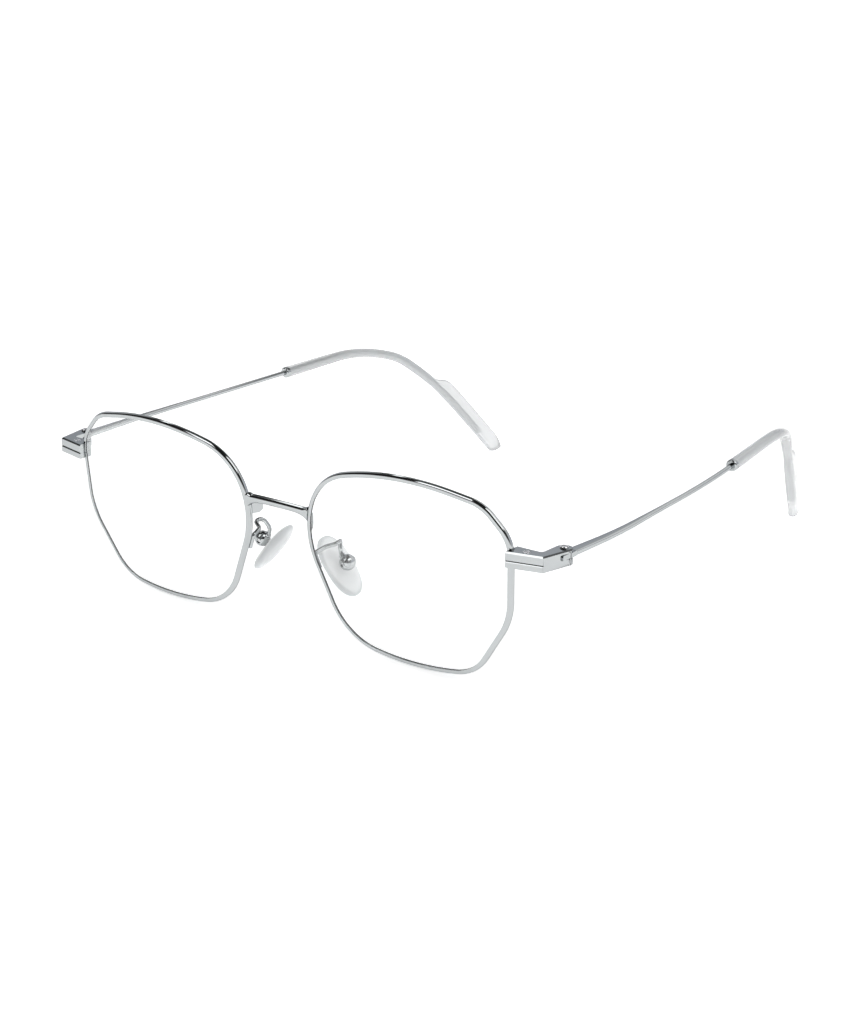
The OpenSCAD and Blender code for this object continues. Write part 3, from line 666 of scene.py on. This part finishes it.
def closed_path(corners, step):
    """A flat outline through rounded corners. Radii that don't fit are made smaller."""
    at = [np.array(c[:2]) for c in corners]
    n = len(at)
    reach = []
    for i in range(n):
        half = math.acos(unit(at[i - 1] - at[i]) @ unit(at[(i + 1) % n] - at[i])) / 2
        reach.append(corners[i][2] / math.tan(half))
    share = []
    for i in range(n):
        j = (i + 1) % n
        share.append(min(1, np.linalg.norm(at[j] - at[i]) / (reach[i] + reach[j] + 0.01)))
    points = []
    for i in range(n):
        radius = corners[i][2] * min(share[i - 1], share[i])
        points += corner_arc(at[i - 1], at[i], at[(i + 1) % n], radius, step)
    return spaced(points)


def spaced(points, least=0.05):
    """Leaves out points that lie closer together than least mm."""
    kept = [points[0]]
    for p in points[1:]:
        if np.linalg.norm(p - kept[-1]) > least:
            kept.append(p)
    return kept


def open_path(first, corners, last, step):
    """A path in space from first to last, through corners of x, y, z and radius."""
    at = [np.array(first)] + [np.array(c[:3]) for c in corners] + [np.array(last)]
    points = [at[0]]
    for i, corner in enumerate(corners, 1):
        points += corner_arc(at[i - 1], at[i], at[i + 1], corner[3], step)
    return spaced(points + [at[-1]])


def filled(points, step):
    """A path with points added on its straight runs, at most step mm apart."""
    full = [points[0]]
    for a, b in zip(points, points[1:]):
        count = max(1, math.ceil(np.linalg.norm(b - a) / step))
        full += [a + (b - a) * k / count for k in range(1, count + 1)]
    return full


def headings(points):
    """The direction of a path at each of its points."""
    runs = [unit(b - a) for a, b in zip(points, points[1:])]
    return [runs[0]] + [unit(a + b) for a, b in zip(runs, runs[1:])] + [runs[-1]]


print("paths are ready")

# %% [markdown]
# ### The curved face
# A lens is a slice of a shallow dome. Its outline is drawn flat, as u outwards and v up
# from its centre, and then laid on a sphere that leans forward by 6 degrees and turns
# round the face by 2. The rim uses the same face, so that lens and rim always meet.

# %% Face of the lenses
LENS_W, LENS_H, NOSE_GAP, FACE_R = 52.4, 42.4, 18.0, 175.0
TILT, WRAP = math.radians(6), math.radians(2)
# The middle of the bridge line, with the glasses standing on the table.
TABLE = np.array([0, -72.3321, 21.5968])
HALF_W, HALF_H = LENS_W / 2, LENS_H / 2
LENS_X = NOSE_GAP / 2 + HALF_W
OUT = np.array([math.cos(WRAP), math.sin(WRAP), 0])
UP = np.array([OUT[1] * math.sin(TILT), -OUT[0] * math.sin(TILT), math.cos(TILT)])
BACK = np.array([-OUT[1] * math.cos(TILT), OUT[0] * math.cos(TILT), math.sin(TILT)])


def sag(u, v):
    """How far the curved face falls back from its middle."""
    return FACE_R - math.sqrt(FACE_R * FACE_R - u * u - v * v)


def face_point(u, v, n):
    """The place of u outwards, v up and n in front of the curved face."""
    return TABLE + np.array([LENS_X, 0, 0]) + u * OUT + v * UP + (sag(u, v) - n) * BACK


# The corners of the outline as u, v and radius, clockwise from the outer side.
LENS_CORNERS = [
    (HALF_W - 0.7, -5.3, 15.4),
    (HALF_W - 10.3, 1.3 - HALF_H, 10.8),
    (1, -0.6 - HALF_H, 76.9),
    (8.5 - HALF_W, 1.8 - HALF_H, 14.5),
    (-0.9 - HALF_W, 2.5, 18),
    (2.4 - HALF_W, HALF_H - 4.4, 14.4),
    (-1, HALF_H + 1.6, 64.8),
    (HALF_W - 6.3, HALF_H - 2.3, 9),
    (HALF_W + 0.1, HALF_H - 9.1, 8.1),
]
LENS_PATH = closed_path(LENS_CORNERS, 0.8)
print("the lens outline has", len(LENS_PATH), "points")


SIDE_LIMIT = 0.7 * HALF_W


def side_of_lens(sign):
    """Heights and sideways places of the outline on one side, sorted by height."""
    return np.array(sorted((p[1], p[0]) for p in LENS_PATH if sign * p[0] > SIDE_LIMIT)).T


NOSE_SIDE, OUTER_SIDE = side_of_lens(-1), side_of_lens(1)


def nose_u(v):
    return float(np.interp(v, *NOSE_SIDE))


def nose_out(v, rho):
    """The place rho beyond the outline's nose side, at a height."""
    slope = (nose_u(v + 1) - nose_u(v - 1)) / 2
    return nose_u(v) - rho * math.sqrt(1 + slope * slope)


def face_v(z, u):
    """The v on the curved face that lies z above its middle."""
    return (z - sag(u, z) * math.sin(TILT)) / math.cos(TILT)


# %% [markdown]
# ### Rims
# Rim wire has a V groove inside, which holds the lens's pointed edge, and its outer
# edges are drawn round. Those rounds matter most for the look: each one gathers the
# whole tent of light into a thin line. The wire is slit at the closing block, so the
# path starts just below the slit and ends just above it.

# %% Rim wire
# The inner edges of the solid rims are cut by 0.25 mm. Here they are rounded by 0.10 mm.
RIM_W, RIM_D, RIM_EDGE, RIM_ROUND = 1.15, 1.3, 0.10, 0.55
RIDGE_H, RIDGE_W = 0.45, 0.36
TOP_SINK, TOP_HALF = 0.02, 0.016  # the flat bottom of the groove
RIM_OUT = RIM_W - RIDGE_H
BLOCK_TOP, BLOCK_H, CLOSER_H = 10.7, 3.4, 1.4
SLIT_V = face_v(BLOCK_TOP - BLOCK_H + CLOSER_H, HALF_W)
SLIT_HALF, SLIT_CLEAR = 0.05, 0.2


def quarter(cx, cy, radius, start, count=7):
    """A quarter turn round (cx, cy), clockwise from the start angle in degrees."""
    angles = np.radians(np.linspace(start, start - 90, count))
    return [(cx + radius * math.cos(a), cy + radius * math.sin(a)) for a in angles]


def rim_section():
    """Points across the wire: outwards from the outline, and in front of the face."""
    half = RIM_D / 2
    inner = RIM_EDGE - RIDGE_H
    groove = [(-RIDGE_H, -RIDGE_W), (-TOP_SINK, -TOP_HALF),
              (-TOP_SINK, TOP_HALF), (-RIDGE_H, RIDGE_W)]
    front = quarter(inner, half - RIM_EDGE, RIM_EDGE, 180)
    crown = quarter(RIM_OUT - RIM_ROUND, half - RIM_ROUND, RIM_ROUND, 90, 14)
    rear = quarter(RIM_OUT - RIM_ROUND, RIM_ROUND - half, RIM_ROUND, 0, 14)
    last = quarter(inner, RIM_EDGE - half, RIM_EDGE, -90)
    return groove + front + crown + rear + last


def rim_path():
    """The outline from just below the slit, round the lens, to just above it."""
    n = len(LENS_PATH)
    start = next(i for i in range(n) if LENS_PATH[i][0] > SIDE_LIMIT
                 and LENS_PATH[i][1] < SLIT_V <= LENS_PATH[i - 1][1])
    u = float(np.interp(SLIT_V, *OUTER_SIDE))
    outline = [LENS_PATH[(start + i) % n] for i in range(n)]
    kept = [p for p in outline if p[0] < SIDE_LIMIT or abs(p[1] - SLIT_V) > SLIT_CLEAR]
    return [np.array([u, SLIT_V - SLIT_HALF])] + kept + [np.array([u, SLIT_V + SLIT_HALF])]


RIM_PATH = rim_path()


def rim_rings():
    rings = []
    for p, ahead in zip(RIM_PATH, headings(RIM_PATH)):
        out = np.array([-ahead[1], ahead[0]])
        rings.append([face_point(*(p + s * out), n) for s, n in rim_section()])
    return rings


both_sides("rim", rim_rings, polished, "polished_metal", "front", 50)

# %% [markdown]
# ### Lenses
# The lens is a skin too: rings from near its centre on the rear face, out to the
# pointed ridge in the groove, and back to near the centre on the front face. Its edge
# is pressed a hair into the wire. A gap there would show as a dark line round each lens.

# %% Lenses
# The solid lenses are 1.4 mm thick. Here half the thickness is 0.58 mm.
LENS_HALF, PRESS = 0.58, 0.03
# The sizes of the rings on either face, as shares of the outline.
LENS_SHARES = [0.02, 0.15, 0.3, 0.45, 0.6, 0.75, 0.88, 0.96, 0.985, 1]


def lens_ring(rho, n, factor):
    """The outline moved outwards by rho, shrunk by a factor, and n in front of the face."""
    ring = []
    count = len(LENS_PATH)
    for i, p in enumerate(LENS_PATH):
        before, after = LENS_PATH[i - 1], LENS_PATH[(i + 1) % count]
        ahead = unit(unit(p - before) + unit(after - p))
        q = (p + rho * np.array([-ahead[1], ahead[0]])) * factor
        ring.append(face_point(q[0], q[1], n))
    return ring


def lens_rings():
    edge, foot = RIDGE_H - PRESS, RIDGE_W + PRESS
    rear = [lens_ring(-edge, -LENS_HALF, share) for share in LENS_SHARES]
    ridge = [lens_ring(-edge, -foot, 1), lens_ring(0, 0, 1), lens_ring(-edge, foot, 1)]
    front = [lens_ring(-edge, LENS_HALF, share) for share in reversed(LENS_SHARES)]
    return rear + ridge + front


both_sides("lens", lens_rings, clear_lens, "clear_lens", "front", 25)

# %% [markdown]
# ### Bridge
# The bridge is a bar with soft edges. It rises a hair towards its middle, which makes
# its right half catch a window of light that its left half misses. Its feet spread down
# over the rims, and a small bead of solder stands up beside either rim.

# %% Bridge
# The solid bridge is 1.55 mm high and 1.6 mm deep, and has no rise.
BRIDGE_H, BRIDGE_D, BRIDGE_FOOT, BRIDGE_RISE, BRIDGE_SINK = 1.6, 1.65, 1.3, 0.12, 0.25
BEAD_AT, BEAD_RUN, BEAD_RISE = 0.93, 0.055, 0.30
BRIDGE_V = face_v(8.4, -HALF_W)
SEAT = 0.02  # the gap that solder fills between two soldered pieces


def oval(half_x, half_y, power, count):
    """A superellipse: power 1 is an ellipse, and smaller powers come near a rectangle."""
    ring = []
    for i in range(count):
        a = (i + 0.5) * 2 * math.pi / count
        c, s = math.cos(a), math.sin(a)
        ring.append((half_x * math.copysign(abs(c) ** power, c),
                     half_y * math.copysign(abs(s) ** power, s)))
    return ring


def bridge_rings():
    """Rings from the right rim (t = -1) to the left one (t = 1), closest near the ends."""
    rings = []
    for t in np.sin(np.linspace(-math.pi / 2, math.pi / 2, 61)):
        flare = BRIDGE_FOOT * abs(t) ** 6
        bead = BEAD_RISE * math.exp(-((abs(t) - BEAD_AT) / BEAD_RUN) ** 2)
        ring = []
        for x, y in oval(BRIDGE_D / 2, BRIDGE_H / 2, 0.8, 48):
            drop = flare if y < 0 else bead
            v = BRIDGE_V + y + math.copysign(drop, y) * min(1, abs(y) * 4)
            end = face_point(nose_out(v, RIM_OUT - BRIDGE_SINK), v, -x)
            ring.append((end[0] * t, end[1], end[2] + BRIDGE_RISE * (1 - t * t)))
        rings.append(ring)
    return rings


bridge = skin("bridge_skin", bridge_rings())
dress(bridge, polished, "polished_metal")
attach(bridge, "front")
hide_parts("bridge")
print("bridge has", len(bridge.data.polygons), "faces")

# %% [markdown]
# ### Temples and tips
# A temple starts as a flat blade at the hinge and narrows into a round wire, which
# dips behind the ear. Over the ear it wears a clear sleeve, whose end widens into a
# paddle. Both follow one path, and both get their width from short tables.

# %% Path of a temple
HINGE = np.array([69.234, 9.5, 9.375])
TONGUE, WIRE_D, BLADE_W, BLADE_RUN = 1.85, 1.15, 2.5, 36.0
BEND_Y, REACH_Y, TIP_IN, COLLAR_Y, COLLAR_L = 101.0, 135.0, 21.5, 69.0, 1.2
# Places on the path are measured from the hinge screw, which lies at HINGE + TABLE.
EAR = np.array([-9.8, BEND_Y + 6, -0.4])
BEHIND_EAR = REACH_Y - EAR[1]
FOOT = -30.486  # the height of the path's end
PATH_STEP = 1.5
TEMPLE_CORNERS = [
    (1.2, 17.5, 0.1, 170),
    (-0.8, 58, 1.1, 400),
    (-5.3, BEND_Y - 5.5, 3.1, 40),
    (*EAR, 0.71 * BEHIND_EAR),
    (EAR[0] - 0.43 * (TIP_IN + EAR[0]), EAR[1] + 0.41 * BEHIND_EAR,
     EAR[2] + 0.316 * (FOOT - EAR[2]), 3.2 * BEHIND_EAR),
]
TEMPLE_PATH = filled(open_path((0.6, TONGUE + SEAT, 0), TEMPLE_CORNERS,
                               (-TIP_IN, REACH_Y, FOOT), PATH_STEP), PATH_STEP)
TEMPLE_AHEAD = headings(TEMPLE_PATH)
print("the temple path has", len(TEMPLE_PATH), "points")


def ring_round(centre, ahead, side, front, rear, power, count):
    """A ring across a path: half widths to the side, and in front of and behind the wire."""
    level = unit(np.array([1, 0, 0]) - ahead[0] * ahead)
    upward = np.cross(level, ahead)
    return [centre + level * x * side + upward * y * (rear if y > 0 else front)
            for x, y in oval(1, 1, power, count)]


def between(y, table):
    """A value from a table of (y, value) rows, eased so that it changes without a crease."""
    for (y0, v0), (y1, v1) in zip(table, table[1:]):
        if y < y1:
            s = min(1, max(0, (y - y0) / (y1 - y0)))
            return v0 + (v1 - v0) * s * s * (3 - 2 * s)
    return table[-1][1]


def on_path(y):
    """The point and direction of the path where it reaches y."""
    ys = [p[1] for p in TEMPLE_PATH]
    at = np.array([np.interp(y, ys, [p[k] for p in TEMPLE_PATH]) for k in range(3)])
    way = np.array([np.interp(y, ys, [a[k] for a in TEMPLE_AHEAD]) for k in range(3)])
    return at, unit(way)


# %% [markdown]
# ### Temple wires
# The wire is drawn round, and its front end is rolled flat into a blade for the hinge.
# Each ring is an oval across the path: its half width shrinks from the blade to the
# wire, and its corners soften on the way.

# %% Temple wires
WIRE_END = REACH_Y - 4.6


def temple_rings():
    rings = []
    points = [(p, a) for p, a in zip(TEMPLE_PATH, TEMPLE_AHEAD) if p[1] < WIRE_END - 0.3]
    for p, ahead in points + [on_path(WIRE_END)]:
        share = min(1, max(0, (p[1] - TONGUE) / BLADE_RUN))
        side = BLADE_W / 2 + (WIRE_D - BLADE_W) / 2 * share
        power = 0.4 + 0.6 * share
        rings.append([HINGE + TABLE + q for q in
                      ring_round(p, ahead, side, WIRE_D / 2, WIRE_D / 2, power, 32)])
    return rings


both_sides("temple", temple_rings, polished, "polished_metal", "{side}_temple_body")

# %% [markdown]
# ### Clear tips
# A tip is a sleeve over the wire that widens into a paddle and stands on a nearly flat
# sole. The sole could be cut off with a boolean, which leaves ragged faces. Instead, the
# last ring slides along the path until every point of it meets the sole.

# %% Clear tips
TIP_D, TIP_OVER, TIP_SLIM = 2.8, 3.3, 2.3
PADDLE_T, PADDLE_FRONT, PADDLE_REAR = 2.3, 1.35, 3.4
STEP_Y = EAR[1] + 0.375 * BEHIND_EAR
SOLE_Y, SOLE_RISE, HEEL_Y, HEEL_ROUND = 70.8, 0.2, 74.0, 0.7
# Half widths along the path: to the side, in front of the wire and behind it.
TIP_SIDE = [(COLLAR_Y, TIP_D / 2), (COLLAR_Y + 14, TIP_D / 2 + 0.1), (BEND_Y - 4, TIP_OVER / 2),
            (BEND_Y + 6, TIP_OVER / 2), (STEP_Y + 2, PADDLE_T / 2)]
TIP_FRONT = [(COLLAR_Y, TIP_D / 2), (BEND_Y - 4, TIP_SLIM / 2),
             (STEP_Y, TIP_SLIM / 2), (STEP_Y + 4, PADDLE_FRONT)]
TIP_REAR = [(COLLAR_Y, TIP_D / 2), (BEND_Y - 4, TIP_SLIM / 2),
            (STEP_Y - 1.2, TIP_SLIM / 2), (STEP_Y + 2.4, PADDLE_REAR)]
TIP_POWER = [(STEP_Y, 1), (STEP_Y + 3, 0.8)]  # rounder before the paddle
# The last rings: shares of the slide to the sole, then rows of distance and size.
SLIDE_SHARES = (0.2, 0.4, 0.55, 0.7, 0.8)
SOLE_ROUND = ((0.5, 1.0), (0.25, 0.98), (0.08, 0.94), (0.0, 0.86))


def before_heel(point):
    """Rounds off what would reach past the heel of the tip."""
    x, y, z = point
    if y > SOLE_Y - 2:
        y = (y + HEEL_Y - math.hypot(y - HEEL_Y, HEEL_ROUND)) / 2
    return (x, y, z)


def tip_rings():
    """Rings from the collar to the paddle's sole, closest where the paddle starts."""
    ys = np.concatenate([
        np.arange(COLLAR_Y + COLLAR_L, STEP_Y - 1.5, 1.0),
        np.arange(STEP_Y - 1.5, STEP_Y + 5, 0.3),
        np.arange(STEP_Y + 5, REACH_Y - 2.4, 0.7),
    ])
    rings = []
    for y in ys:
        at, ahead = on_path(y)
        widths = [between(y, table) for table in (TIP_SIDE, TIP_FRONT, TIP_REAR)]
        ring = ring_round(at, ahead, *widths, between(y, TIP_POWER), 40)
        rings.append(np.array([HINGE + TABLE + q for q in ring]))
    last = rings[-1]
    ahead = on_path(REACH_Y)[1]
    run = (SOLE_RISE * (last[:, 1] - SOLE_Y) - last[:, 2]) / (ahead[2] - SOLE_RISE * ahead[1])
    for share in SLIDE_SHARES:
        rings.append(last + np.outer(run * share, ahead))
    for short, size in SOLE_ROUND:
        outline = last + np.outer(run - short, ahead)
        middle = outline.mean(axis=0)
        rings.append(middle + (outline - middle) * size)
    return [[before_heel(p) for p in ring] for ring in rings]


both_sides("temple_tip", tip_rings, clear_tip, "clear_tip", "{side}_temple_body", 60)

# %% [markdown]
# ### Nose pads
# Each pad is a soft cushion on a wire arm, and its screw lets it rock. The arm is a
# thin round wire with two tight bends. The cushion is an oval lens of silicone, crowned
# on the side of the nose, and it swallows the plate of its insert.

# %% Pad arms
assert np.allclose(PAD_AXIS, TABLE + np.array([NOSE_GAP / 2 + 3.7, 9.1, -4.4]), atol=0.001)
ARM_D, NECK_GAP = 0.95, 0.4
NECK_TILT, ARM_TURN = math.radians(15), math.radians(20)
# The direction of the pad box's neck, in which the arm ends.
NECK = pad_place((-math.sin(NECK_TILT), 0, math.cos(NECK_TILT))) - PAD_AXIS
# The bends of the arm as x, y, z from the pad screw, and radius.
ARM_BENDS = [
    (-2.8, -4, 4.05, 0.9),
    (-0.2, -2.8, 5.1, 1.2),
    (-1.2, -0.9, 5.1, 1.5),
    (-2.15, 0.1, 2.9, 1.6),
]


def arm_foot(v):
    """Where the arm's middle lies behind the rim, at a height."""
    off = RIM_ROUND + ARM_D / 2 + SEAT
    return face_point(nose_out(v, RIM_OUT - RIM_ROUND + off * math.sin(ARM_TURN)), v,
                      RIM_ROUND - RIM_D / 2 - off * math.cos(ARM_TURN))


def arm_rings():
    corners = [(*arm_foot(face_v(-1.2, -HALF_W)), 0.7)]
    corners += [(*(PAD_AXIS + np.array(b[:3])), b[3]) for b in ARM_BENDS]
    low_foot = arm_foot(face_v(-4.4, -HALF_W))
    path = open_path(low_foot, corners, PAD_AXIS + NECK * (BOX_R + NECK_GAP + SEAT), 0.25)
    ways = headings(path)
    ways[-1] = -NECK
    rings = []
    for p, ahead in zip(path, ways):
        level = unit(np.cross(ahead, [1, 0.3, 0.2]))
        upward = np.cross(level, ahead)
        rings.append([p + level * x + upward * y for x, y in oval(ARM_D / 2, ARM_D / 2, 1, 24)])
    return rings


both_sides("pad_arm", arm_rings, polished, "polished_metal", "front", 60)

# %% [markdown]
# ### Cushions
# A cushion has an oval outline and a crowned face towards the nose. It could be carved
# from a squashed ball, but a short table of depths and widths follows the real profile
# more closely, and every row of the table makes one ring.

# %% Cushions
# Rows of depth, from 0 on the crown to 1 on the back, and of the ring's share of the width.
PAD_PROFILE = [
    (0.0, 0.0), (0.006, 0.12), (0.02, 0.3), (0.055, 0.48), (0.11, 0.64), (0.2, 0.79),
    (0.31, 0.9), (0.43, 0.97), (0.56, 1.0), (0.68, 0.99), (0.79, 0.945), (0.88, 0.875),
    (0.95, 0.8), (0.99, 0.73), (1.0, 0.68), (1.0, 0.5), (0.985, 0.34),
]
SMALLEST_RING = 0.015


def cushion_rings():
    rings = []
    for depth, width in PAD_PROFILE:
        x = PAD_BACK - PAD_T + PAD_T * depth
        size = max(width, SMALLEST_RING)
        power = 0.85 + 0.15 * (1 - width) ** 2
        outline = oval(PAD_W / 2 * size, PAD_L / 2 * size, power, 48)
        rings.append([pad_place((x, a, b + PAD_RISE)) for a, b in outline])
    return rings


for cushion in both_sides("nose_pad", cushion_rings, soft_pad, "soft_pad", "{side}_pad_body", 80):
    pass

# %% [markdown]
# ## Sizes
# The dressed model is meant to fill the same box as the solids. The size of the solids' box
# is printed.

# %% Size of the solids' box, and the end
print("solids in mm: ", [round(1000 * s, 2) for s in cad_high - cad_low])
